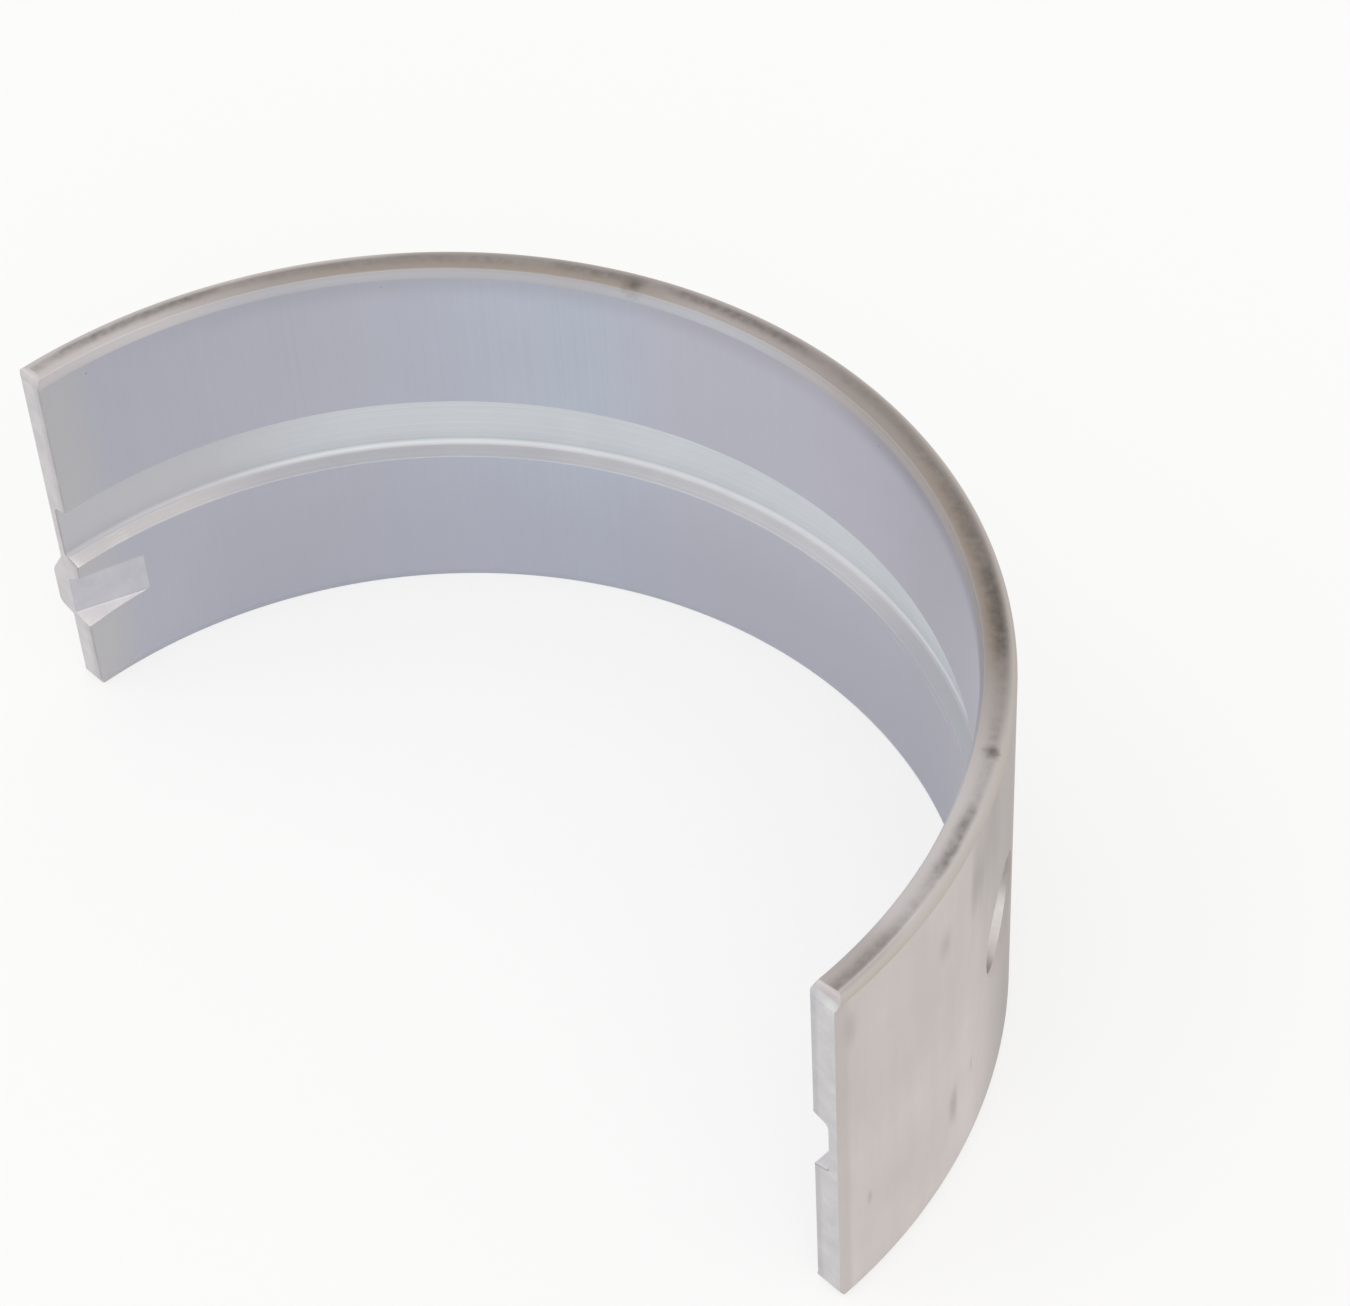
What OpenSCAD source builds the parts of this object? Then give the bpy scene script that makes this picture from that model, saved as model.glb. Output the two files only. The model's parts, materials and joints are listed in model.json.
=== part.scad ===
// Engine bearing shell: one half of a split plain bearing, pressed from lined steel strip.
// It stands on its side rim. Z is the bearing axis, the parting faces lie in the plane y = 0,
// the crown is at +Y, the locating lug at the -X end and the plain end at +X.

/* [Shell] */
// Outside diameter of the back, which seats in the housing
back_d = 80; // [60:0.5:120]
// Wall thickness from the back to the lining
wall_t = 2.4; // [2.1:0.05:4]
// Width along the bearing axis
shell_w = 31; // [25:0.5:50]

/* [Edges] */
// Radial depth of the chamfer on the lining's side edges
lining_chamfer_t = 0.25; // [0.15:0.05:0.9]
// Axial length of the chamfer on the lining's side edges
lining_chamfer_w = 0.7; // [0.2:0.05:1.2]
// Radius on the back's side edges
back_round = 0.6; // [0.2:0.05:0.8]
// Break on the lining's edge at each parting face
parting_break = 0.1; // [0.05:0.05:0.5]
// Break on the back's edge at each parting face
back_break = 0.35; // [0.1:0.05:0.5]
// Chamfer where each parting face meets the side rims
end_chamfer = 0.6; // [0.2:0.05:0.8]

/* [Crush relief] */
// Extra depth of the lining at the parting faces
relief_depth = 0.03; // [0.02:0.005:0.06]
// Length of the relief along the arc from each parting face
relief_l = 5; // [4:0.5:10]

/* [Oil groove] */
// Width of the groove at the lining
groove_mouth_w = 5.6; // [5.2:0.1:8]
// Width of the groove's floor, up to its sides
groove_floor_w = 4.9; // [3:0.1:5.2]
// Depth of the groove below the lining
groove_depth = 1.3; // [0.8:0.05:1.5]
// Radius between the groove's floor and its sides
groove_fillet = 0.5; // [0.2:0.05:0.7]

/* [Oil hole] */
// Diameter of the oil hole through the groove's floor
hole_d = 8; // [4:0.1:10]
// Angle of the oil hole round the arc from the plain parting face
hole_angle = 32; // [20:1:150]
// Edge break where the oil hole meets the back
hole_break = 0.4; // [0.2:0.05:0.7]

/* [Locating lug] */
// Distance of the lug's middle from the middle of the shell's width
lug_drop = 6.8; // [5:0.1:8]
// Height of the lug above the back at the parting face
lug_h = 1; // [0.5:0.05:1.6]
// Distance from the parting face to where the lug runs out into the back
lug_l = 4.2; // [2.5:0.1:6]
// Width of the lug's flat top
lug_top_w = 3.4; // [2.5:0.1:6]
// Depth of the recess behind the lug at the parting face
recess_depth = 1.6; // [0.5:0.05:1.7]
// Distance from the parting face to where the recess runs out into the lining
recess_l = 5.4; // [3:0.1:8]
// Width of the recess's flat floor
recess_floor_w = 3.5; // [2:0.1:5]
// Slope of the lug's upper side, sideways per unit of height
lug_upper_slope = 1.6; // [0.2:0.05:2]
// Slope of the recess's upper side
recess_upper_slope = 0.8; // [0.2:0.05:1]
// Slope of both lower sides
lower_slope = 0.3; // [0.2:0.05:0.8]

/* [Hidden] */
$fn = 180;

back_r = back_d / 2;
lining_r = back_r - wall_t;
groove_floor_r = lining_r + groove_depth;
mid_wall_r = back_r - wall_t / 2;
half_w = shell_w / 2;
arc = 180;
// How far a cutting shape runs past the face that it opens
overrun = 1;
// Flats that make up each rounded edge of the back and each fillet of the oil groove
fillet_steps = 4;
// Angle of arc taken by the crush relief, and how far its bore is set off the bearing axis
relief_arc = relief_l / lining_r * 180 / PI;
relief_offset = relief_depth / sin(relief_arc);

// Half ring with side rims that are chamfered at the lining and rounded at the back
module half_ring() {
    upper = concat(
        [[lining_r, half_w - lining_chamfer_w], [lining_r + lining_chamfer_t, half_w]],
        [for (step = [0 : fillet_steps])
            let (turn = 90 * step / fillet_steps)
            [back_r - back_round * (1 - sin(turn)), half_w - back_round * (1 - cos(turn))]]
    );
    lower = [for (i = [len(upper) - 1 : -1 : 0]) [upper[i][0], -upper[i][1]]];
    rotate_extrude(angle = arc)
        polygon(concat(upper, lower));
}

// Cut for the oil groove, open at both parting faces, with filleted floor corners
module oil_groove() {
    mouth = groove_mouth_w / 2;
    corner = groove_floor_w / 2;
    lean = atan2(mouth - corner, groove_depth);
    fillet_z = corner - groove_fillet * tan(45 - lean / 2);
    upper = concat(
        [[lining_r - overrun, mouth], [lining_r, mouth]],
        [for (step = [fillet_steps : -1 : 0])
            let (turn = (90 - lean) * step / fillet_steps)
            [groove_floor_r - groove_fillet * (1 - cos(turn)), fillet_z + groove_fillet * sin(turn)]]
    );
    lower = [for (i = [len(upper) - 1 : -1 : 0]) [upper[i][0], -upper[i][1]]];
    rotate_extrude()
        polygon(concat(upper, lower));
}

// Cut for the oil hole, with a conical break at the back
module oil_hole() {
    rotate([0, 90, hole_angle]) {
        cylinder(d = hole_d, h = back_r + overrun);
        translate([0, 0, back_r - hole_break])
            cylinder(d1 = hole_d, d2 = hole_d + 2 * (hole_break + overrun), h = hole_break + overrun);
    }
}

// Eccentric bore that opens the lining a little towards both parting faces
module crush_relief() {
    translate([0, -relief_offset, 0])
        cylinder(r = lining_r + relief_depth, h = shell_w + 2 * overrun, center = true);
}

// Cuts that break the lining's edge at both parting faces
module parting_breaks() {
    for (end = [0, 1])
        mirror([end, 0, 0])
            linear_extrude(shell_w + 2 * overrun, center = true)
                polygon([
                    [lining_r + parting_break + overrun, -overrun],
                    [lining_r - overrun, parting_break + overrun],
                    [lining_r - overrun, -overrun]
                ]);
}

// Cuts that break the back's edge at both parting faces
module back_breaks() {
    for (end = [0, 1])
        mirror([end, 0, 0])
            linear_extrude(shell_w + 2 * overrun, center = true)
                polygon([
                    [back_r - back_break - overrun, -overrun],
                    [back_r + overrun, back_break + overrun],
                    [back_r + overrun, -overrun]
                ]);
}

// Cuts that take off the corner between the parting faces and each side rim
module end_chamfers() {
    for (side = [0, 1])
        mirror([0, 0, side])
            rotate([90, 0, 90])
                linear_extrude(2 * back_d, center = true)
                    polygon([
                        [-overrun, half_w - end_chamfer - overrun],
                        [end_chamfer + overrun, half_w + overrun],
                        [-overrun, half_w + overrun]
                    ]);
}

// Bar with a flat outer face and sloped sides. The face lies at start_r on the parting plane
// and reaches run_r at the distance run_l from it. The bar grows wider towards the axis.
module sloped_bar(start_r, run_r, run_l, face_w, upper_slope, thickness) {
    end_x = sqrt(run_r * run_r - run_l * run_l);
    tilt = atan2(start_r - end_x, run_l);
    half_face = face_w / 2;
    reach = run_l / cos(tilt) + overrun;
    translate([-start_r, 0, -lug_drop])
        rotate([90, 0, -tilt])
            translate([0, 0, -reach])
                linear_extrude(reach + overrun)
                    polygon([
                        [0, half_face],
                        [0, -half_face],
                        [thickness, -half_face - lower_slope * thickness],
                        [thickness, half_face + upper_slope * thickness]
                    ]);
}

// Lug that stands out of the back at the parting face
module lug() {
    difference() {
        sloped_bar(back_r + lug_h, back_r, lug_l, lug_top_w, lug_upper_slope, lug_h + wall_t);
        cylinder(r = mid_wall_r, h = shell_w, center = true);
        translate([-back_d, -back_d, -half_w])
            cube([2 * back_d, back_d, shell_w]);
    }
}

// Cut for the recess pressed in behind the lug
module lug_recess() {
    sloped_bar(lining_r + recess_depth, lining_r, recess_l, recess_floor_w, recess_upper_slope,
        recess_depth + overrun);
}

module bearing_shell() {
    color("silver")
        difference() {
            union() {
                difference() {
                    half_ring();
                    back_breaks();
                    end_chamfers();
                }
                lug();
            }
            oil_groove();
            oil_hole();
            crush_relief();
            parting_breaks();
            lug_recess();
        }
}

bearing_shell();
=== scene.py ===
import json
from math import atan2, copysign, cos, hypot, pi, radians, sin, sqrt, tan

import bmesh
import bpy
from mathutils import Matrix, Vector


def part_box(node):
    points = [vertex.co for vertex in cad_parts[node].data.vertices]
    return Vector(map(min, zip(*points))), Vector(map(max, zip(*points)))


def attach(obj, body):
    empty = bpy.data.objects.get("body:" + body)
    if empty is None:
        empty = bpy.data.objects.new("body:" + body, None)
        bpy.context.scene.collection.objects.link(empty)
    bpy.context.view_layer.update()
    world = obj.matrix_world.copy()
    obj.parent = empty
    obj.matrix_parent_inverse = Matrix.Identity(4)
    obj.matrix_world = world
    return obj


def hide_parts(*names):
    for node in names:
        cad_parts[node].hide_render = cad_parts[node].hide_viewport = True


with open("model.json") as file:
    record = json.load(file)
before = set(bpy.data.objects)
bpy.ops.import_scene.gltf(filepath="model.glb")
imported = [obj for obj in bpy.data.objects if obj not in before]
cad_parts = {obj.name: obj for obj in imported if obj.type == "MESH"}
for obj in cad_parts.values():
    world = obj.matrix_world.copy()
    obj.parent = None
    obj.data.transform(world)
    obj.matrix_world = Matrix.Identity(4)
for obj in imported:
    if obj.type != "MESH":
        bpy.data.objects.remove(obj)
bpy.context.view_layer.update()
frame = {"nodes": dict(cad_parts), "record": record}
print("frame loaded:", ", ".join(frame["nodes"]))

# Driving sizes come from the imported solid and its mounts. The mesh is modelled in mm.
mm = 0.001
nodeLow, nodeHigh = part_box("bearing_shell")
mounts = {mount["name"]: mount for mount in frame["record"]["mounts"]}
backRadius = nodeHigh.y / mm
halfWidth = nodeHigh.z / mm
lugHeight = -nodeLow.x / mm - backRadius
liningRadius = mounts["journal"]["dims"]["r_mm"]
wall = backRadius - liningRadius
holeRadius = mounts["oil_hole"]["dims"]["r_mm"]
holeTurn = atan2(mounts["oil_hole"]["axis"][1], mounts["oil_hole"]["axis"][0])
lugDrop = -mounts["locating_lug"]["pos_m"][2] / mm

# How close counts as the same, in mm: points to merge, points on a cutting plane, a nominal place
close = dict(merge=1e-4, plane=1e-5, place=0.01)


# Camera, at the photo's viewing angle
camera = dict(
    azimuth=48.805, elevation=46.931, roll=-3.624,  # degrees
    target=(1.722, 22.567, 0.0), distance=273.33, clipStart=10.0,  # mm
    focalPixels=3934.9, imageWidth=1350, sensorWidth=36.0,
)


def makeCamera():
    turn, rise = radians(camera["azimuth"]), radians(camera["elevation"])
    back = Vector((sin(turn) * cos(rise), -cos(turn) * cos(rise), sin(rise)))
    facing = (-back).to_track_quat("-Z", "Y").to_matrix()
    facing = facing @ Matrix.Rotation(radians(camera["roll"]), 3, "Z")
    data = bpy.data.cameras.new("photoView")
    data.sensor_width = camera["sensorWidth"]
    data.lens = camera["focalPixels"] / camera["imageWidth"] * camera["sensorWidth"]
    data.clip_start = camera["clipStart"] * mm
    made = bpy.data.objects.new("photoView", data)
    bpy.context.scene.collection.objects.link(made)
    place = Vector(camera["target"]) + back * camera["distance"]
    made.matrix_world = Matrix.Translation(place * mm) @ facing.to_4x4()
    bpy.context.scene.camera = made


makeCamera()
print("camera placed")


# The half ring: its section, spun half a turn about the bearing axis
ring = dict(
    chamferRadial=0.25, chamferAxial=0.7,  # on the lining's side edges
    backRound=0.6,  # on the back's side edges
    grooveMouth=5.6, grooveFloor=4.9, grooveDepth=1.3, grooveFillet=0.5,
    lipRound=0.06, rimRound=0.1,  # softness of the groove's lips and of the side rims' corners
    filletSteps=7, lipSteps=3, backSteps=8, rimSteps=5,  # flats that make up each of these rounds
    reliefDepth=0.03, reliefLength=5.0,  # crush relief towards the parting faces
    endRound=0.75,  # worn round where a parting face meets a side rim
    cornerDeep=0.75, cornerDrop=2.0, cornerLean=0.03,  # worn more at the plain end's top
    wearPlanes=4,  # flats that make up each worn round
    backBreak=0.6, partingBreak=0.1,  # on the back's and the lining's edge at a parting face
    arcSteps=216, rowHeight=1.3, sharpAngle=32.0,
)
grooveFloorRadius = liningRadius + ring["grooveDepth"]


def sectionCorners():
    upper = [
        (grooveFloorRadius, ring["grooveFloor"] / 2),
        (liningRadius, ring["grooveMouth"] / 2),
        (liningRadius, halfWidth - ring["chamferAxial"]),
        (liningRadius + ring["chamferRadial"], halfWidth),
        (backRadius, halfWidth),
    ]
    return upper + [(radius, -height) for radius, height in reversed(upper)]


def roundSection(bm):
    lean = atan2((ring["grooveMouth"] - ring["grooveFloor"]) / 2, ring["grooveDepth"])
    filletReach = ring["grooveFillet"] * tan((pi / 2 - lean) / 2)
    floorCorners = [v for v in bm.verts if abs(v.co.x - grooveFloorRadius) < close["place"]]
    lips = [v for v in bm.verts if v not in floorCorners and abs(v.co.z) < ring["grooveMouth"]]
    backCorners = [v for v in bm.verts if abs(v.co.x - backRadius) < close["place"]]
    others = [v for v in bm.verts if v not in floorCorners + lips + backCorners]
    rounds = [
        (floorCorners, filletReach, ring["filletSteps"]),
        (lips, ring["lipRound"], ring["lipSteps"]),
        (backCorners, ring["backRound"], ring["backSteps"]),
        (others, ring["rimRound"], ring["rimSteps"]),
    ]
    for corners, reach, steps in rounds:
        bmesh.ops.bevel(bm, geom=corners, offset=reach, segments=steps, profile=0.5,
                        affect="VERTICES", material=-1)
    for edge in bm.edges[:]:
        cuts = int(edge.calc_length() / ring["rowHeight"])
        if cuts:
            bmesh.ops.subdivide_edges(bm, edges=[edge], cuts=cuts)


def closeHoles(bm):
    bmesh.ops.holes_fill(bm, edges=[e for e in bm.edges if e.is_boundary], sides=0)
    bmesh.ops.recalc_face_normals(bm, faces=bm.faces[:])


def trim(bm, point, outward):
    bmesh.ops.bisect_plane(bm, geom=bm.verts[:] + bm.edges[:] + bm.faces[:], dist=close["plane"],
                           plane_co=point, plane_no=outward, clear_outer=True)
    closeHoles(bm)


def openRelief(bm):
    # an eccentric bore, a hair deeper than the lining at both parting faces
    reach = ring["reliefLength"] / liningRadius
    offset = ring["reliefDepth"] / sin(reach)
    bore = liningRadius + ring["reliefDepth"]
    for v in bm.verts:
        radius = hypot(v.co.x, v.co.y)
        if abs(radius - liningRadius) > close["place"] / 2:
            continue
        rise = v.co.y / radius
        wanted = sqrt(bore ** 2 - (offset * v.co.x / radius) ** 2) - offset * rise
        grow = max(wanted / radius, 1.0)
        v.co.x *= grow
        v.co.y *= grow


def wearRound(bm, corner, sideways, deep, wide, lean=0.0):
    # planes that touch an arc between a parting face and the face beside it; a lean keeps to one end
    towards = Vector((0, -1, 0))
    centre = corner - towards * deep - sideways * wide
    turnStep = pi / 2 / (ring["wearPlanes"] + 1)
    for step in range(1, ring["wearPlanes"] + 1):
        turn = atan2(wide * sin(step * turnStep), deep * cos(step * turnStep))
        touch = centre + towards * deep * cos(turn) + sideways * wide * sin(turn)
        outward = (towards * cos(turn) / deep + sideways * sin(turn) / wide).normalized()
        trim(bm, touch, outward + Vector((lean, 0, 0)))


def breakInnerEdges(bm):
    # the lining's and the groove's edges at the parting faces: a cut just behind, then moved outwards
    bmesh.ops.bisect_plane(bm, geom=bm.verts[:] + bm.edges[:] + bm.faces[:], dist=close["plane"],
                           plane_co=(0, ring["partingBreak"], 0), plane_no=(0, 1, 0))
    outermost = grooveFloorRadius + ring["partingBreak"] / 2
    for vert in bm.verts:
        if abs(vert.co.y) < close["merge"] and abs(vert.co.x) < outermost:
            vert.co.x += copysign(ring["partingBreak"], vert.co.x)


def makeRing():
    bm = bmesh.new()
    bm.faces.new([bm.verts.new((radius, 0, height)) for radius, height in sectionCorners()])
    roundSection(bm)
    bmesh.ops.delete(bm, geom=bm.faces[:], context="FACES_ONLY")
    bmesh.ops.spin(bm, geom=bm.verts[:] + bm.edges[:], cent=(0, 0, 0), axis=(0, 0, 1),
                   angle=pi, steps=ring["arcSteps"])
    closeHoles(bm)
    openRelief(bm)
    for side in (1, -1):
        rim, back = Vector((0, 0, side)), Vector((side, 0, 0))
        wearRound(bm, rim * halfWidth, rim, ring["endRound"], ring["endRound"])
        wearRound(bm, back * backRadius, back, ring["backBreak"], ring["backBreak"])
    plainTop = Vector((backRadius - wall / 2, 0, halfWidth))
    wearRound(bm, plainTop, Vector((0, 0, 1)), ring["cornerDeep"], ring["cornerDrop"],
              lean=ring["cornerLean"])
    breakInnerEdges(bm)
    return bm


# The locating lug, the recess pressed in behind it and the oil hole
lug = dict(
    length=4.2, topWidth=3.4, upperSlope=1.6, edgeRound=0.4,
    sunkShare=0.25,  # of the wall, that the lug's bar reaches into the back
    recessDepth=1.6, recessLength=5.4, recessWidth=3.5, recessUpperSlope=0.8, recessRound=0.12,
    lowerSlope=0.3, roundSteps=5, overrun=1.0,
)
hole = dict(edgeBreak=0.4, overrun=1.5, sides=72)


def slopedBar(startRadius, runRadius, runLength, faceWidth, upperSlope, thickness, edgeRound):
    # a flat outer face with sloped sides, tilted so that it sinks to runRadius at runLength
    endX = sqrt(runRadius ** 2 - runLength ** 2)
    tilt = atan2(startRadius - endX, runLength)
    half = faceWidth / 2
    lower = -half - lug["lowerSlope"] * thickness
    upper = half + upperSlope * thickness
    corners = [(0, half), (0, -half), (thickness, lower), (thickness, upper)]
    bm = bmesh.new()
    end = bm.faces.new([bm.verts.new((x, -lug["overrun"], z)) for x, z in corners])
    grown = bmesh.ops.extrude_face_region(bm, geom=[end], use_keep_orig=True)["geom"]
    reach = runLength / cos(tilt) + 2 * lug["overrun"]
    bmesh.ops.translate(bm, verts=[g for g in grown if isinstance(g, bmesh.types.BMVert)],
                        vec=(0, reach, 0))
    bmesh.ops.recalc_face_normals(bm, faces=bm.faces[:])
    longEdges = [e for e in bm.edges if e.calc_length() > reach - close["place"]
                 and all(v.co.x < close["place"] for v in e.verts)]
    bmesh.ops.bevel(bm, geom=longEdges, offset=edgeRound, segments=lug["roundSteps"], profile=0.5,
                    affect="EDGES", material=-1)
    bmesh.ops.rotate(bm, verts=bm.verts[:], cent=(0, 0, 0), matrix=Matrix.Rotation(-tilt, 3, "Z"))
    bmesh.ops.translate(bm, verts=bm.verts[:], vec=(-startRadius, 0, -lugDrop))
    return bm


def makeLug():
    bm = slopedBar(backRadius + lugHeight, backRadius, lug["length"], lug["topWidth"],
                   lug["upperSlope"], lugHeight + lug["sunkShare"] * wall, lug["edgeRound"])
    trim(bm, (0, 0, 0), (0, -1, 0))
    return bm


def makeRecess():
    return slopedBar(liningRadius + lug["recessDepth"], liningRadius, lug["recessLength"],
                     lug["recessWidth"], lug["recessUpperSlope"],
                     lug["recessDepth"] + lug["overrun"], lug["recessRound"])


def makeHole():
    # a drill with a flare at the back, spun about its own axis and laid along the radius
    flare = hole["edgeBreak"] + hole["overrun"]
    outline = [
        (0, liningRadius - hole["overrun"]),
        (holeRadius, liningRadius - hole["overrun"]),
        (holeRadius, backRadius - hole["edgeBreak"]),
        (holeRadius + flare, backRadius - hole["edgeBreak"] + flare),
        (0, backRadius - hole["edgeBreak"] + flare),
    ]
    bm = bmesh.new()
    verts = [bm.verts.new((radius, 0, reach)) for radius, reach in outline]
    for first, second in zip(verts, verts[1:]):
        bm.edges.new((first, second))
    bmesh.ops.spin(bm, geom=bm.verts[:] + bm.edges[:], cent=(0, 0, 0), axis=(0, 0, 1),
                   angle=2 * pi, steps=hole["sides"], use_merge=True)
    bmesh.ops.remove_doubles(bm, verts=bm.verts[:], dist=close["merge"])
    bmesh.ops.recalc_face_normals(bm, faces=bm.faces[:])
    bmesh.ops.rotate(bm, verts=bm.verts[:], cent=(0, 0, 0),
                     matrix=Matrix.Rotation(holeTurn, 3, "Z") @ Matrix.Rotation(pi / 2, 3, "Y"))
    return bm


def toObject(bm, name):
    mesh = bpy.data.meshes.new(name)
    bm.to_mesh(mesh)
    bm.free()
    made = bpy.data.objects.new(name, mesh)
    bpy.context.scene.collection.objects.link(made)
    return made


def joinAndCut(body, steps):
    # booleans in order, applied to the mesh, with the tools removed
    for operation, tool in steps:
        boolean = body.modifiers.new(operation.lower(), "BOOLEAN")
        boolean.operation = operation
        boolean.solver = "EXACT"
        boolean.object = tool
    bpy.context.view_layer.update()
    cut = bpy.data.meshes.new_from_object(body.evaluated_get(bpy.context.evaluated_depsgraph_get()))
    bm = bmesh.new()
    bm.from_mesh(cut)
    bpy.data.meshes.remove(cut)
    for spent in [body] + [tool for _, tool in steps]:
        bpy.data.meshes.remove(spent.data)
    bmesh.ops.dissolve_degenerate(bm, edges=bm.edges[:], dist=close["merge"])
    bmesh.ops.recalc_face_normals(bm, faces=bm.faces[:])
    return bm


shellMesh = joinAndCut(toObject(makeRing(), "ring"), [
    ("UNION", toObject(makeLug(), "lug")),
    ("DIFFERENCE", toObject(makeRecess(), "recess")),
    ("DIFFERENCE", toObject(makeHole(), "hole")),
])
print("shell modelled:", len(shellMesh.faces), "faces")


# Materials
colourMix = dict(data_type="RGBA")
smooth = dict(interpolation_type="SMOOTHSTEP")
bumpDepth = 0.01 * mm  # of the fine marks in every finish
smearCore = 0.4  # share of a smear's half length that has its full strength


def hexColour(text):
    parts = [int(text[i:i + 2], 16) / 255 for i in (1, 3, 5)]
    linear = [p / 12.92 if p <= 0.04045 else ((p + 0.055) / 1.055) ** 2.4 for p in parts]
    return (*linear, 1.0)


def addNode(tree, kind, settings=None, sockets=None):
    made = tree.nodes.new("ShaderNode" + kind)
    for name, value in (settings or {}).items():
        setattr(made, name, value)
    for name, value in (sockets or {}).items():
        if isinstance(value, bpy.types.NodeSocket):
            tree.links.new(value, made.inputs[name])
        else:
            made.inputs[name].default_value = hexColour(value) if isinstance(value, str) else value
    return made.outputs


def newMetal(name, roughness):
    material = bpy.data.materials.new(name)
    material.use_nodes = True
    tree = material.node_tree
    shader = tree.nodes["Principled BSDF"]
    shader.inputs["Metallic"].default_value = 1.0
    shader.inputs["Roughness"].default_value = roughness
    return material, tree, shader, addNode(tree, "TexCoord")["Object"]


def roundPlace(tree, place):
    # distance from the bearing axis, turn round it from the plain end, depth and height
    split = addNode(tree, "SeparateXYZ", None, {0: place})
    flat = addNode(tree, "CombineXYZ", None, {0: split["X"], 1: split["Y"]})
    radius = addNode(tree, "VectorMath", dict(operation="LENGTH"), {0: flat[0]})
    turn = addNode(tree, "Math", dict(operation="ARCTAN2"), {0: split["Y"], 1: split["X"]})
    return radius["Value"], turn[0], split["Y"], split["Z"]


def smearShare(tree, turn, smears, start=0.0):
    # the strongest of the smears at each place: middle and half length in degrees, and strength
    total = start
    for middle, half, strength in smears:
        away = addNode(tree, "Math", dict(operation="SUBTRACT"), {0: turn, 1: radians(middle)})
        away = addNode(tree, "Math", dict(operation="ABSOLUTE"), {0: away[0]})
        smear = addNode(tree, "MapRange", smooth, {
            "Value": away[0], "From Min": radians(half * smearCore), "From Max": radians(half),
            "To Min": strength, "To Max": 0.0})
        total = addNode(tree, "Math", dict(operation="MAXIMUM"), {0: total, 1: smear[0]})[0]
    return total


# Lead-tin overlay on the lining: dull and blue-grey, broached along the axis, which leaves
# hair-fine upright streaks. Paler and less blue where it is relieved at the parting faces.
overlay = dict(
    light="#CDD3DF", dark="#C1C6D2", relief="#CBCACC", lipHighlight="#E4E6EC", speck="#85868E",
    side="#C1BDC4", mid="#CCC8D0", low="#BBBDC7", edge="#A9A6AE",
    roughness=0.62, bump=0.12,
    streak=0.3, streakLength=40.0,  # mm, drawn about three times coarser than real to show
    cloud=8.0, cloudShare=0.6,
    reliefFrom=0.8, reliefTo=5.2, wander=2.0,  # mm from the parting faces, and how far that strays
    # along the arc, films and painted shade: middle and half length in degrees round it, and strength
    sideFilms=[(40.0, 56.0, 0.8), (178.0, 60.0, 0.5)],
    midFilms=[(93.0, 26.0, 0.6)],
    # painted shade: the lower lining darker, fading out towards mid-width
    lowFilms=[(88.0, 84.0, 0.6), (20.0, 60.0, 0.6), (148.0, 24.0, 0.6)],
    lowShadeFrom=-11.0, lowShadeTo=1.0,  # mm up from mid-width, where the painted shade on the lower lining fades out
    # painted shade in a band just below the side rims' chamfers
    edgeFilms=[(52.0, 46.0, 0.8), (120.0, 60.0, 0.3)],
    edgeShadeFrom=12.6, edgeShadeTo=14.7,  # mm up from mid-width: painted shade, a darker band just below the side rims' chamfers
    lipHighlightDrop=0.62, lipHighlightHalf=0.05,  # mm, painted highlight: a bright line below the groove's lower lip
    lipHighlightFrom=24.0, lipHighlightTo=32.0, lipHighlightShare=0.7,  # mm from the parting plane: near the crown
    speckSpacing=3.4, speckRadius=0.09, speckShare=0.8,
)


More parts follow.
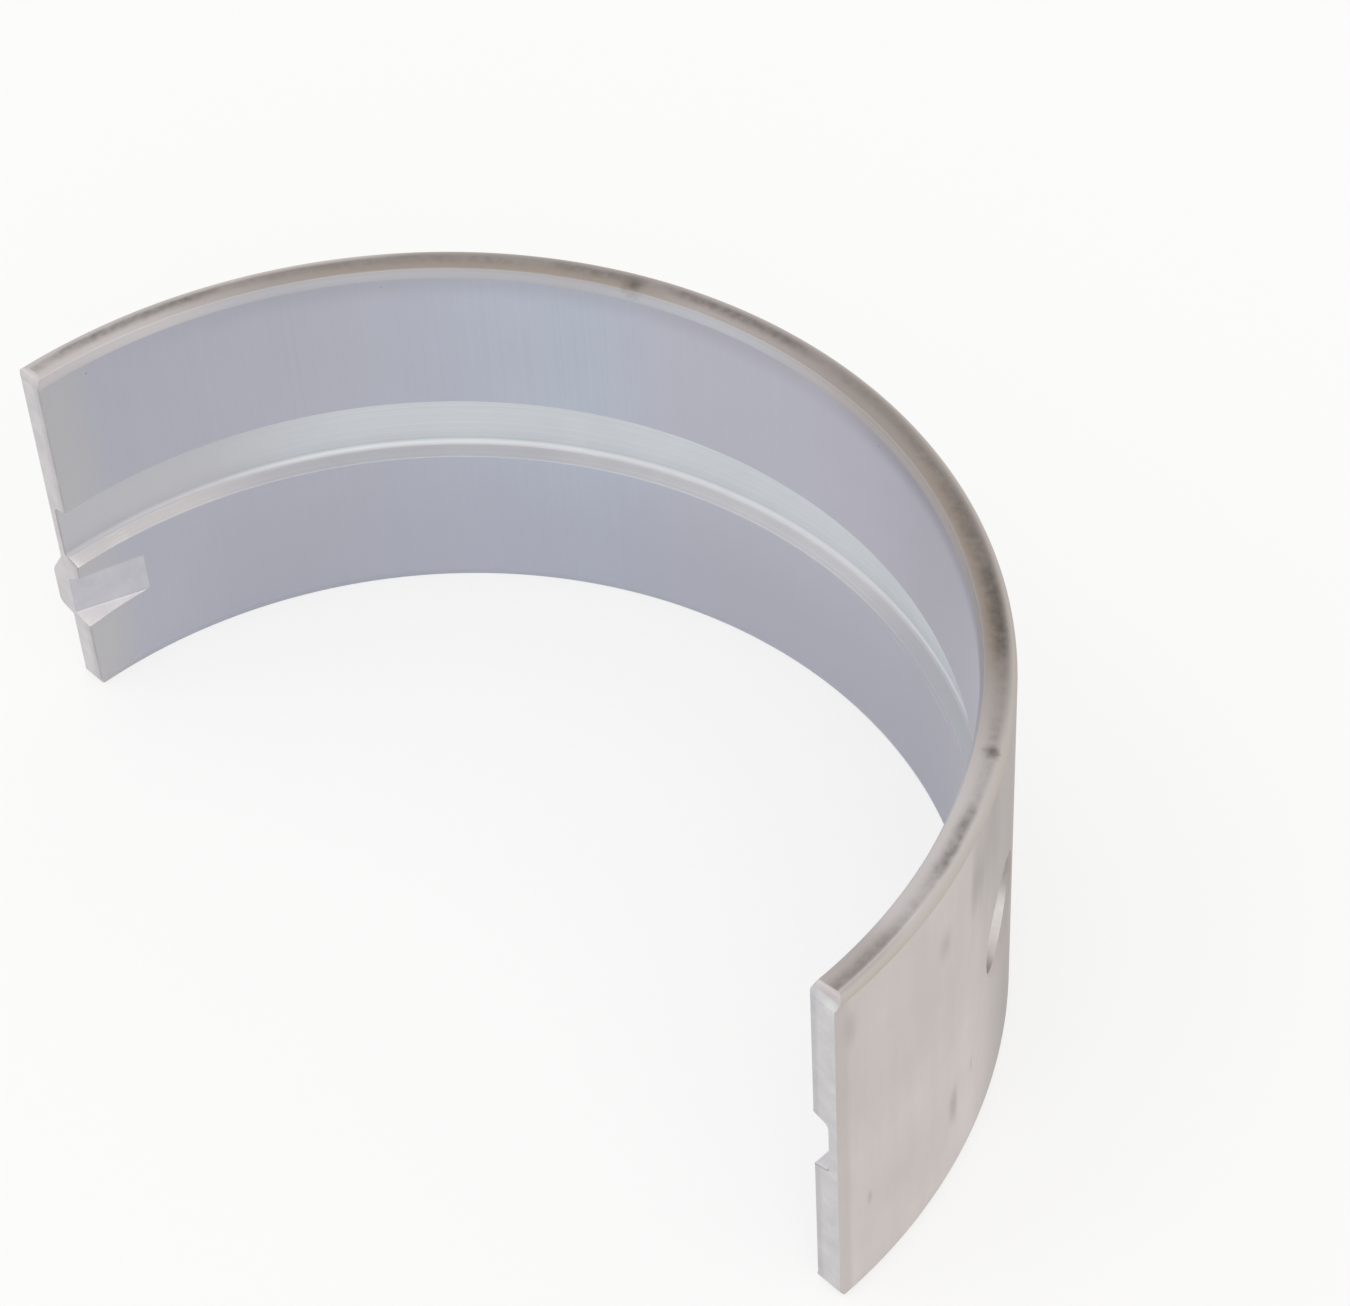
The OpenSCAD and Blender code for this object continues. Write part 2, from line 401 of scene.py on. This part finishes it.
def leadTinOverlay():
    material, tree, shader, place = newMetal("leadTinOverlay", overlay["roughness"])
    _, turn, depth, height = roundPlace(tree, place)
    drawn = addNode(tree, "Mapping", None, {
        "Vector": place, "Scale": (1, 1, overlay["streak"] / overlay["streakLength"])})
    streaks = addNode(tree, "TexNoise", None, {
        "Vector": drawn[0], "Scale": 1 / (overlay["streak"] * mm), "Detail": 2.0, "Roughness": 0.6})
    clouds = addNode(tree, "TexNoise", None, {
        "Vector": place, "Scale": 1 / (overlay["cloud"] * mm), "Detail": 3.0})
    tone = addNode(tree, "MapRange", None, {
        "Value": streaks[0], "From Min": 0.3, "From Max": 0.7, "To Min": 0.1, "To Max": 0.35})
    tone = addNode(tree, "Math", dict(operation="MULTIPLY_ADD", use_clamp=True), {
        0: clouds[0], 1: overlay["cloudShare"], 2: tone[0]})
    colour = addNode(tree, "Mix", colourMix, {0: tone[0], 6: overlay["dark"], 7: overlay["light"]})[2]
    for name in ("side", "mid"):
        films = smearShare(tree, turn, overlay[name + "Films"])
        colour = addNode(tree, "Mix", colourMix, {0: films, 6: colour, 7: overlay[name]})[2]
    # painted shade on the lower lining
    lowShades = smearShare(tree, turn, overlay["lowFilms"])
    # painted shade below the side rims' chamfers
    edges = smearShare(tree, turn, overlay["edgeFilms"])
    strayed = addNode(tree, "Math", dict(operation="MULTIPLY_ADD"), {
        0: clouds[0], 1: overlay["wander"] * mm, 2: depth})
    stray = overlay["wander"] / 2  # on average, as the clouds' mean is a half
    layers = [
        ("low", height, overlay["lowShadeFrom"], overlay["lowShadeTo"], lowShades, 0.0),
        ("relief", strayed[0], stray + overlay["reliefFrom"], stray + overlay["reliefTo"], 1.0, 0.0),
        ("edge", height, overlay["edgeShadeFrom"], overlay["edgeShadeTo"], 0.0, edges),
    ]
    for name, value, low, high, start, end in layers:
        share = addNode(tree, "MapRange", smooth, {
            "Value": value, "From Min": low * mm, "From Max": high * mm,
            "To Min": start, "To Max": end})
        colour = addNode(tree, "Mix", colourMix, {0: share[0], 6: colour, 7: overlay[name]})[2]
    # painted highlight: a broken bright line below the groove's lower lip, near the crown
    lipHeight = -ring["grooveMouth"] / 2 - overlay["lipHighlightDrop"]
    onLipHighlight = addNode(tree, "Math", dict(operation="COMPARE"), {
        0: height, 1: lipHeight * mm, 2: overlay["lipHighlightHalf"] * mm})
    atCrown = addNode(tree, "MapRange", None, {
        "Value": depth, "From Min": overlay["lipHighlightFrom"] * mm, "From Max": overlay["lipHighlightTo"] * mm,
        "To Min": 0.0, "To Max": overlay["lipHighlightShare"]})
    broken = addNode(tree, "MapRange", None, {
        "Value": clouds[0], "From Min": 0.45, "From Max": 0.65, "To Min": 0.0, "To Max": atCrown[0]})
    line = addNode(tree, "Math", dict(operation="MULTIPLY"), {0: onLipHighlight[0], 1: broken[0]})
    colour = addNode(tree, "Mix", colourMix, {0: line[0], 6: colour, 7: overlay["lipHighlight"]})[2]
    cells = addNode(tree, "TexVoronoi", None, {
        "Vector": place, "Scale": 1 / (overlay["speckSpacing"] * mm)})
    speckReach = overlay["speckRadius"] / overlay["speckSpacing"]
    specks = addNode(tree, "MapRange", None, {
        "Value": cells["Distance"], "From Min": speckReach / 2, "From Max": speckReach,
        "To Min": overlay["speckShare"], "To Max": 0.0})
    colour = addNode(tree, "Mix", colourMix, {0: specks[0], 6: colour, 7: overlay["speck"]})[2]
    bump = addNode(tree, "Bump", None, {
        "Strength": overlay["bump"], "Distance": bumpDepth, "Height": streaks[0]})
    tree.links.new(colour, shader.inputs["Base Color"])
    tree.links.new(bump[0], shader.inputs["Normal"])
    return material


# Groove, turned across the bore after lining: paler, with fine lines that run round the arc
turned = dict(
    floor=("#E5E9EC", "#DADEE1"), side=("#E0DEE0", "#D2D0D2"),
    roughness=0.62, bump=0.15, cloud=6.0,
    line=0.22,  # mm between tool marks, drawn twice as coarse to show
    # tones along the arc: colour, then middle and half length in degrees and strength
    floorTones=[("#D0D0D3", [(180.0, 36.0, 0.85)]), ("#B8B6B9", [(48.0, 13.0, 0.6)])],
    filletTones=[("#CDCBCC", [(180.0, 44.0, 0.8)]), ("#C2C2C8", [(60.0, 26.0, 0.8)])],
    sideTones=[("#F4EFEC", [(178.0, 25.0, 0.62)]),
               ("#C2C2C8", [(138.0, 26.0, 0.4), (60.0, 26.0, 0.8)])],
)


def turnedMetal(name, shades, tones):
    material, tree, shader, place = newMetal(name, turned["roughness"])
    light, dark = shades
    radius, turn, _, height = roundPlace(tree, place)
    across = addNode(tree, "Math", dict(operation="ADD"), {0: height, 1: radius})
    marks = addNode(tree, "TexNoise", dict(noise_dimensions="1D"), {
        "W": across[0], "Scale": 1 / (turned["line"] * mm), "Detail": 3.0, "Roughness": 0.6})
    clouds = addNode(tree, "TexNoise", None, {
        "Vector": place, "Scale": 1 / (turned["cloud"] * mm), "Detail": 4.0})
    tone = addNode(tree, "Math", dict(operation="ADD"), {0: marks[0], 1: clouds[0]})
    share = addNode(tree, "MapRange", None, {"Value": tone[0], "From Min": 0.6, "From Max": 1.4})
    colour = addNode(tree, "Mix", colourMix, {0: share[0], 6: dark, 7: light})[2]
    for added, smears in tones:
        there = smearShare(tree, turn, smears)
        colour = addNode(tree, "Mix", colourMix, {0: there, 6: colour, 7: added})[2]
    bump = addNode(tree, "Bump", None, {
        "Strength": turned["bump"], "Distance": bumpDepth, "Height": marks[0]})
    tree.links.new(colour, shader.inputs["Base Color"])
    tree.links.new(bump[0], shader.inputs["Normal"])
    return material


# Side rims and their edges: sheared and turned, stained brown by old oil along the rim's middle,
# with dark smears, thin lines round the arc, and rubbed pale where the back's edge is rounded.
# A pale line along that edge near the plain end is a painted highlight.
stain = dict(
    chamfer="#C6C7CD", rim="#C8C2C1", film="#7D7166", outer="#C6BFB8", dark="#5C554E",
    rubbed="#DCD4D0", fringe="#9A8872",
    roughness=0.58, blotch=4.0, grain=0.6, line=0.2, wander=0.3,  # sizes in mm
    haze=(0.15, 0.4),  # least and most smearing all round the rim
    lineShare=0.3, speckle=(0.6, 1.3),  # how lines and grain break up the smears
    # marks along the arc: middle and half length in degrees round it, and strength
    broad=[(55.0, 16.0, 0.34)],
    fringes=[(58.0, 20.0, 0.36), (128.0, 26.0, 0.3)],
    smears=[(50.0, 9.0, 0.66), (3.0, 12.0, 0.42), (21.0, 7.0, 0.55), (68.0, 9.0, 0.4),
            (80.0, 10.0, 0.3), (100.0, 13.0, 0.58), (117.0, 8.0, 0.46), (136.0, 7.0, 0.34),
            (167.0, 15.0, 0.56)],
    rimFilms=[(1.0, 11.0, 0.3), (64.0, 36.0, 0.33), (93.0, 22.0, 0.36), (130.0, 43.0, 0.4)],
    films=[(62.0, 40.0, 0.36), (135.0, 34.0, 0.16)],
    # rubs: painted highlight, a pale line along the back's rounded edge near the plain end
    rubs=[(4.0, 14.0, 0.5)],
    edgeRubs=[(150.0, 16.0, 0.55)],
    paleEnds=[(72.0, 26.0, 0.6), (176.0, 22.0, 0.6)],
    # dark spots: degrees round the arc, mm from the bearing axis, radius and strength
    spots=[(32.3, 39.0, 0.8, 0.72), (112.9, 38.5, 1.3, 0.42), (112.9, 38.6, 0.6, 0.42)],
)


def stainedSideRim():
    material, tree, shader, place = newMetal("stainedSideRim", stain["roughness"])
    radius, turn, _, _ = roundPlace(tree, place)
    blotches = addNode(tree, "TexNoise", None, {
        "Vector": place, "Scale": 1 / (stain["blotch"] * mm), "Detail": 5.0, "Roughness": 0.65})
    grain = addNode(tree, "TexNoise", None, {
        "Vector": place, "Scale": 1 / (stain["grain"] * mm), "Detail": 3.0})
    wander = addNode(tree, "Math", dict(operation="MULTIPLY_ADD"), {
        0: blotches[0], 1: stain["wander"] * mm, 2: radius})[0]
    inner = liningRadius + ring["chamferRadial"]
    outer = backRadius - ring["backRound"]
    # shares that change across the rim: what is measured, from and to in mm, share at each
    bands = dict(
        onRim=(radius, inner - 0.13, inner + 0.13, 0.0, 1.0),
        onBack=(radius, outer, outer + 0.4, 0.0, 0.85),
        coreStart=(wander, inner + 0.45, inner + 1.35, 0.0, 1.0),
        coreEnd=(wander, outer - 0.15, outer + 0.3, 1.0, 0.0),
        broadStart=(wander, inner + 0.1, inner + 1.1, 0.0, 1.0),
        broadEnd=(wander, outer, outer + 0.55, 1.0, 0.0),
        fringeStart=(wander, inner + 0.1, inner + 0.5, 0.0, 1.0),
        fringeEnd=(wander, inner + 0.8, inner + 1.3, 1.0, 0.0),
        highlightStart=(radius, outer - 0.14, outer - 0.04, 0.0, 1.0),
        highlightEnd=(radius, outer + 0.02, outer + 0.12, 1.0, 0.0),
        edgeStart=(wander, outer - 0.1, outer + 0.35, 0.0, 1.0),
    )
    across = {}
    for name, (value, low, high, start, end) in bands.items():
        across[name] = addNode(tree, "MapRange", smooth, {
            "Value": value, "From Min": low * mm, "From Max": high * mm,
            "To Min": start, "To Max": end})[0]
    haze = addNode(tree, "MapRange", None, {
        "Value": blotches[0], "From Min": 0.3, "From Max": 0.7,
        "To Min": stain["haze"][0], "To Max": stain["haze"][1]})
    lines = addNode(tree, "TexNoise", dict(noise_dimensions="1D"), {
        "W": wander, "Scale": 1 / (stain["line"] * mm), "Detail": 2.0})
    speckled = addNode(tree, "Math", dict(operation="MULTIPLY_ADD"), {
        0: lines[0], 1: stain["lineShare"], 2: grain[0]})
    speckled = addNode(tree, "MapRange", None, {
        "Value": speckled[0], "From Min": 0.35, "From Max": 0.95,
        "To Min": stain["speckle"][0], "To Max": stain["speckle"][1]})
    # layers from the metal up: each one's share is the product of its factors
    layers = [
        (stain["rubbed"], [smearShare(tree, turn, stain["paleEnds"])]),
        (stain["rim"], [across["onRim"]]),
        (stain["film"], [smearShare(tree, turn, stain["rimFilms"]), across["onRim"]]),
        (stain["film"], [smearShare(tree, turn, stain["films"])]),
        (stain["outer"], [across["onBack"]]),
        # painted highlight line along the back's rounded edge near the plain end
        (stain["rubbed"], [smearShare(tree, turn, stain["rubs"]),
                           across["highlightStart"], across["highlightEnd"]]),
        (stain["fringe"], [smearShare(tree, turn, stain["fringes"]),
                           across["fringeStart"], across["fringeEnd"], speckled[0]]),
        (stain["dark"], [smearShare(tree, turn, stain["broad"]),
                         across["broadStart"], across["broadEnd"], speckled[0]]),
        (stain["dark"], [smearShare(tree, turn, stain["smears"], haze[0]),
                         across["coreStart"], across["coreEnd"], speckled[0]]),
        (stain["rubbed"], [smearShare(tree, turn, stain["edgeRubs"]), across["edgeStart"]]),
    ]
    for degrees, reach, size, strength in stain["spots"]:
        centre = Matrix.Rotation(radians(degrees), 3, "Z") @ Vector((reach, 0, halfWidth)) * mm
        away = addNode(tree, "VectorMath", dict(operation="DISTANCE"), {0: place, 1: centre})
        ragged = addNode(tree, "Math", dict(operation="MULTIPLY_ADD"), {
            0: grain[0], 1: size * mm, 2: away["Value"]})
        spot = addNode(tree, "MapRange", smooth, {
            "Value": ragged[0], "From Min": size * 0.5 * mm, "From Max": size * 1.5 * mm,
            "To Min": strength, "To Max": 0.0})
        layers.append((stain["dark"], [spot[0]]))
    colour = stain["chamfer"]
    for added, factors in layers:
        share = factors[0]
        for factor in factors[1:]:
            share = addNode(tree, "Math", dict(operation="MULTIPLY"), {0: share, 1: factor})[0]
        colour = addNode(tree, "Mix", colourMix, {0: share, 6: colour, 7: added})[2]
    tree.links.new(colour, shader.inputs["Base Color"])
    return material


# Tin-flashed steel back: pinkish grey satin, rubbed along the axis, with painted shade in places
# round the arc, and darker towards the top
flashed = dict(
    light="#DDD6D3", dark="#CFC8C6", smudge="#A39C9A", dullShade="#A8A19F",
    roughness=0.52, roughSpread=0.08, bump=0.12,
    rub=1.6, rubLength=16.0, rubShare=0.7, cloud=10.0, grain=0.25,  # sizes in mm
    # painted shade, deepest towards the silhouette and along the plain end's rounded edge: middle and
    # half length in degrees round the arc, and strength
    backShadeArcs=[(0.0, 1.7, 0.24), (47.0, 27.0, 0.72), (128.0, 40.0, 0.4)],
    topFrom=-8.0, topTo=15.0, topShare=0.16,  # mm up from mid-width, darker towards the top
    # rubbed marks: degrees round the arc, mm up from mid-width, half breadth, half height, strength
    marks=[(17.9, -8.2, 0.85, 2.6, 0.5), (3.8, -6.8, 0.35, 1.0, 0.35), (23.0, 10.6, 1.9, 3.6, 0.42),
           (22.0, -7.2, 0.3, 1.4, 0.3), (1.6, 12.2, 0.8, 2.6, 0.3), (16.0, 9.9, 1.4, 2.6, 0.4),
           (26.5, 13.0, 4.5, 11.0, 0.5)],
)


def tinFlashedSteel():
    material, tree, shader, place = newMetal("tinFlashedSteelBack", flashed["roughness"])
    _, turn, _, up = roundPlace(tree, place)
    drawn = addNode(tree, "Mapping", None, {
        "Vector": place, "Scale": (1, 1, flashed["rub"] / flashed["rubLength"])})
    rubs = addNode(tree, "TexNoise", None, {
        "Vector": drawn[0], "Scale": 1 / (flashed["rub"] * mm), "Detail": 4.0, "Roughness": 0.6})
    clouds = addNode(tree, "TexNoise", None, {
        "Vector": place, "Scale": 1 / (flashed["cloud"] * mm), "Detail": 3.0})
    grain = addNode(tree, "TexNoise", None, {
        "Vector": place, "Scale": 1 / (flashed["grain"] * mm), "Detail": 1.0})
    tone = addNode(tree, "Math", dict(operation="MULTIPLY_ADD"), {
        0: rubs[0], 1: flashed["rubShare"], 2: clouds[0]})
    share = addNode(tree, "MapRange", None, {"Value": tone[0], "From Min": 0.55, "From Max": 1.15})
    colour = addNode(tree, "Mix", colourMix, {0: share[0], 6: flashed["dark"], 7: flashed["light"]})[2]
    atTop = addNode(tree, "MapRange", smooth, {
        "Value": up, "From Min": flashed["topFrom"] * mm, "From Max": flashed["topTo"] * mm,
        "To Min": 0.0, "To Max": flashed["topShare"]})
    for shadeShare in (smearShare(tree, turn, flashed["backShadeArcs"]), atTop[0]):
        colour = addNode(tree, "Mix", colourMix, {0: shadeShare, 6: colour, 7: flashed["dullShade"]})[2]
    for degrees, height, breadth, rise, strength in flashed["marks"]:
        centre = Matrix.Rotation(radians(degrees), 3, "Z") @ Vector((backRadius, 0, height)) * mm
        scale = Vector((1 / breadth, 1 / breadth, 1 / rise)) / mm
        local = addNode(tree, "VectorMath", dict(operation="SUBTRACT"), {0: place, 1: centre})
        local = addNode(tree, "VectorMath", dict(operation="MULTIPLY"), {0: local[0], 1: scale})
        reach = addNode(tree, "VectorMath", dict(operation="LENGTH"), {0: local[0]})
        ragged = addNode(tree, "Math", dict(operation="ADD"), {0: reach["Value"], 1: rubs[0]})
        mark = addNode(tree, "MapRange", smooth, {
            "Value": ragged[0], "From Min": 0.5, "From Max": 1.5, "To Min": strength, "To Max": 0.0})
        colour = addNode(tree, "Mix", colourMix, {0: mark[0], 6: colour, 7: flashed["smudge"]})[2]
    rough = addNode(tree, "MapRange", None, {
        "Value": rubs[0], "To Min": flashed["roughness"] - flashed["roughSpread"],
        "To Max": flashed["roughness"] + flashed["roughSpread"]})
    bump = addNode(tree, "Bump", None, {
        "Strength": flashed["bump"], "Distance": bumpDepth, "Height": grain[0]})
    tree.links.new(colour, shader.inputs["Base Color"])
    tree.links.new(rough[0], shader.inputs["Roughness"])
    tree.links.new(bump[0], shader.inputs["Normal"])
    return material


# Broached parting faces, the coined recess and other small cuts: clean metal, pale and finely
# mottled. The lining's own thickness shows as a greyer band along a parting face's inner edge.
cut = dict(
    roughness=0.55, bump=0.15, mottle=1.8,
    # breaks: darker than the parting face, painted shade along the lining's broken edge
    parting=("#DCDADC", "#CCCACC"), breaks=("#C2BDC0", "#B4AFB2"), corner=("#D0CACA", "#C2BCBC"),
    recess=("#D4D4DA", "#C8C8CE"), recessSide=("#F7F3F2", "#EBE7E6"), drilled=("#E2DDDA", "#D4CFCC"),
    lining="#B3B2B8", holeShade="#8C8682", glint="#E6E9E6",
    # bands on a face: colour, what is measured, from and to in mm, share at each
    liningBand=[("lining", "radius", liningRadius + 0.4, liningRadius + 0.8, 0.3, 0.0)],
    # painted highlight round glintPlace, on the parting face and the worn corner
    cornerBand=[("glint", "fromGlint", 0.2, 0.8, 0.6, 0.0)],
    # painted shade on the oil hole's wall, deeper at its lower end than at its top
    holeBands=[("holeShade", "depth", 19.4, 21.2, 0.6, 0.0), ("holeShade", "depth", 23.5, 24.3, 0.0, 0.3)],
    glintPlace=(backRadius - 0.65, 0.15, halfWidth - 1.0),  # painted highlight at the plain end's top corner
)


def mottledSteel(name, shades, bands=()):
    material, tree, shader, place = newMetal(name, cut["roughness"])
    light, dark = shades
    radius, _, depth, _ = roundPlace(tree, place)
    fromGlint = addNode(tree, "VectorMath", dict(operation="DISTANCE"), {
        0: place, 1: Vector(cut["glintPlace"]) * mm})
    measures = dict(radius=radius, depth=depth, fromGlint=fromGlint["Value"])
    mottle = addNode(tree, "TexNoise", None, {
        "Vector": place, "Scale": 1 / (cut["mottle"] * mm), "Detail": 5.0, "Roughness": 0.6})
    share = addNode(tree, "MapRange", None, {"Value": mottle[0], "From Min": 0.3, "From Max": 0.7})
    colour = addNode(tree, "Mix", colourMix, {0: share[0], 6: dark, 7: light})[2]
    for added, measured, low, high, start, end in bands:
        inBand = addNode(tree, "MapRange", smooth, {
            "Value": measures[measured], "From Min": low * mm, "From Max": high * mm,
            "To Min": start, "To Max": end})
        colour = addNode(tree, "Mix", colourMix, {0: inBand[0], 6: colour, 7: cut[added]})[2]
    bump = addNode(tree, "Bump", None, {
        "Strength": cut["bump"], "Distance": bumpDepth, "Height": mottle[0]})
    tree.links.new(colour, shader.inputs["Base Color"])
    tree.links.new(bump[0], shader.inputs["Normal"])
    return material


zones = dict(
    lining=leadTinOverlay(),
    grooveFloor=turnedMetal("turnedGrooveFloor", turned["floor"], turned["floorTones"]),
    grooveFillet=turnedMetal("turnedGrooveFillet", turned["side"], turned["filletTones"]),
    grooveSide=turnedMetal("turnedGrooveSide", turned["side"], turned["sideTones"]),
    rim=stainedSideRim(),
    back=tinFlashedSteel(),
    parting=mottledSteel("broachedPartingFace", cut["parting"], cut["liningBand"] + cut["cornerBand"]),
    partingBreak=mottledSteel("brokenLiningEdge", cut["breaks"]),
    corner=mottledSteel("brokenEndCorner", cut["corner"], cut["cornerBand"]),
    recess=mottledSteel("coinedRecess", cut["recess"]),
    recessSide=mottledSteel("shearedRecessSide", cut["recessSide"]),
    drilled=mottledSteel("drilledHoleWall", cut["drilled"], cut["holeBands"]),
)
print("finishes made:", ", ".join(zones))

# Borders between the finishes: distances in mm, and turns as shares of a face's normal
border = dict(
    slack=0.1,  # past a nominal radius or edge
    lipSlack=0.05, floorSlack=0.2, floorRise=0.12, filletRise=0.3,  # at the groove's lips and floor
    holeReach=0.6, boreTurn=0.95, flareTurn=0.4,  # round the oil hole
    lugReach=0.3, lugLow=-11.0, lugHigh=-3.0, recessInset=0.3, recessSideTurn=0.8,
    rimReach=0.2, rimTurn=0.12, chamferTurn=0.6,  # at a side rim
    faceReach=0.06, faceTurn=0.6, squareTurn=0.97, breakTurn=0.2,  # at a parting face
    cornerTurn=0.25, flatTurn=0.9,  # where a parting face meets a side rim
    roundTurn=0.5,  # on the back and on the lining
)


def zoneOf(face):
    spot, normal = face.calc_center_median(), face.normal
    radius, height = hypot(spot.x, spot.y), abs(spot.z)
    outward = (normal.x * spot.x + normal.y * spot.y) / radius
    forward = -normal.y  # out of the parting faces
    endways = abs(normal.z) > border["rimTurn"]
    insideFloor = radius < grooveFloorRadius + border["slack"]
    holeAxis = Vector((cos(holeTurn), sin(holeTurn), 0))
    along = spot.dot(holeAxis)
    fromHole = (spot - holeAxis * along).length
    atHole = spot.x > 0 and along > 0 and fromHole < holeRadius + border["holeReach"]
    if atHole and abs(outward) < border["boreTurn"]:
        return "drilled" if outward < border["flareTurn"] else "back"
    atCorner = height > halfWidth - ring["cornerDrop"] and spot.y < ring["cornerDeep"] + border["slack"]
    if atCorner and forward > border["cornerTurn"] and endways:
        return "parting" if forward > border["flatTurn"] else "corner"
    if forward > border["faceTurn"] and spot.y < border["faceReach"]:
        onBreak = insideFloor and height < halfWidth - ring["endRound"]
        return "partingBreak" if onBreak and forward < border["squareTurn"] else "parting"
    if height > halfWidth - ring["chamferAxial"] - border["rimReach"] and endways:
        return "lining" if spot.z < 0 and outward < -border["chamferTurn"] else "rim"
    if spot.y < ring["partingBreak"] and forward > border["breakTurn"] and insideFloor:
        return "partingBreak"
    if outward > border["roundTurn"] and radius > backRadius - border["slack"]:
        return "back"
    if outward < -border["roundTurn"] and radius < liningRadius + border["slack"]:
        return "lining"
    rise = grooveFloorRadius - radius
    if height < ring["grooveMouth"] / 2 + border["lipSlack"] and rise > -border["floorSlack"]:
        if rise < border["floorRise"]:
            return "grooveFloor"
        return "grooveFillet" if rise < border["filletRise"] else "grooveSide"
    lugEnd = spot.x < 0 and spot.y < lug["recessLength"] + border["lugReach"]
    nearLug = lugEnd and border["lugLow"] < spot.z < border["lugHigh"]
    if nearLug and radius < backRadius - border["recessInset"]:
        return "recessSide" if normal.z > border["recessSideTurn"] else "recess"
    return "back"


def finishShell(bm):
    names = list(zones)
    for face in bm.faces:
        face.material_index = names.index(zoneOf(face))
        face.smooth = True
    bmesh.ops.scale(bm, verts=bm.verts[:], vec=(mm, mm, mm))
    shell = toObject(bm, "bearingShell")
    for name in names:
        shell.data.materials.append(zones[name])
    shell.data.set_sharp_from_angle(angle=radians(ring["sharpAngle"]))
    weighted = shell.modifiers.new("flatNormals", "WEIGHTED_NORMAL")
    weighted.keep_sharp = True
    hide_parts("bearing_shell")
    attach(shell, "root")


finishShell(shellMesh)
print("shell finished")


# Floor, soft studio light and a white background
studio = dict(
    white="#FFFFFF",
    floorSize=4.0, floorColour="#F3F2F0", floorRoughness=0.9,  # size in m
    floorWhite=0.7, floorGlow=0.35,  # share of plain white in the floor, as seen and as reflected
    worldFill=0.9,
    lamps=dict(
        key=dict(place=(0.75, -0.45, 0.75), size=0.8, watts=1.8),
        fill=dict(place=(-0.5, -0.6, 0.8), size=1.0, watts=1.2),
    ),
)


def seesBackground(tree):
    # camera, glossy and see-through rays meet plain white
    path = addNode(tree, "LightPath")
    seen = addNode(tree, "Math", dict(operation="MAXIMUM"),
                   {0: path["Is Camera Ray"], 1: path["Is Glossy Ray"]})
    return addNode(tree, "Math", dict(operation="MAXIMUM"),
                   {0: seen[0], 1: path["Is Transmission Ray"]})[0]


def makeFloor():
    bm = bmesh.new()
    bmesh.ops.create_grid(bm, x_segments=1, y_segments=1, size=studio["floorSize"] / 2)
    bmesh.ops.translate(bm, verts=bm.verts[:], vec=(0, 0, nodeLow.z))
    floor = toObject(bm, "paleFloor")
    material = bpy.data.materials.new("paleFloor")
    material.use_nodes = True
    tree = material.node_tree
    shader = tree.nodes["Principled BSDF"]
    shader.inputs["Base Color"].default_value = hexColour(studio["floorColour"])
    shader.inputs["Roughness"].default_value = studio["floorRoughness"]
    white = addNode(tree, "Emission", None, {"Color": studio["white"], "Strength": 1.0})
    path = addNode(tree, "LightPath")
    share = addNode(tree, "Math", dict(operation="MULTIPLY"), {
        0: path["Is Camera Ray"], 1: studio["floorWhite"]})
    share = addNode(tree, "Math", dict(operation="MULTIPLY_ADD"), {
        0: path["Is Glossy Ray"], 1: studio["floorGlow"], 2: share[0]})
    mixed = addNode(tree, "MixShader", None, {0: share[0], 1: shader.outputs[0], 2: white[0]})
    tree.links.new(mixed[0], tree.nodes["Material Output"].inputs["Surface"])
    floor.data.materials.append(material)


def makeLight():
    world = bpy.data.worlds.new("whiteStudio")
    bpy.context.scene.world = world
    world.use_nodes = True
    tree = world.node_tree
    fill = tree.nodes["Background"]
    fill.inputs["Color"].default_value = hexColour(studio["white"])
    fill.inputs["Strength"].default_value = studio["worldFill"]
    white = addNode(tree, "Background", None, {"Color": studio["white"], "Strength": 1.0})
    mixed = addNode(tree, "MixShader", None, {0: seesBackground(tree), 1: fill.outputs[0], 2: white[0]})
    tree.links.new(mixed[0], tree.nodes["World Output"].inputs["Surface"])
    for name, lamp in studio["lamps"].items():
        data = bpy.data.lights.new(name, "AREA")
        data.size = lamp["size"]
        data.energy = lamp["watts"]
        made = bpy.data.objects.new(name, data)
        bpy.context.scene.collection.objects.link(made)
        place = Vector(lamp["place"])
        facing = place.to_track_quat("Z", "Y").to_matrix().to_4x4()
        made.matrix_world = Matrix.Translation(place) @ facing


makeFloor()
makeLight()
bpy.context.scene.view_settings.view_transform = "Standard"
print("stage lit")
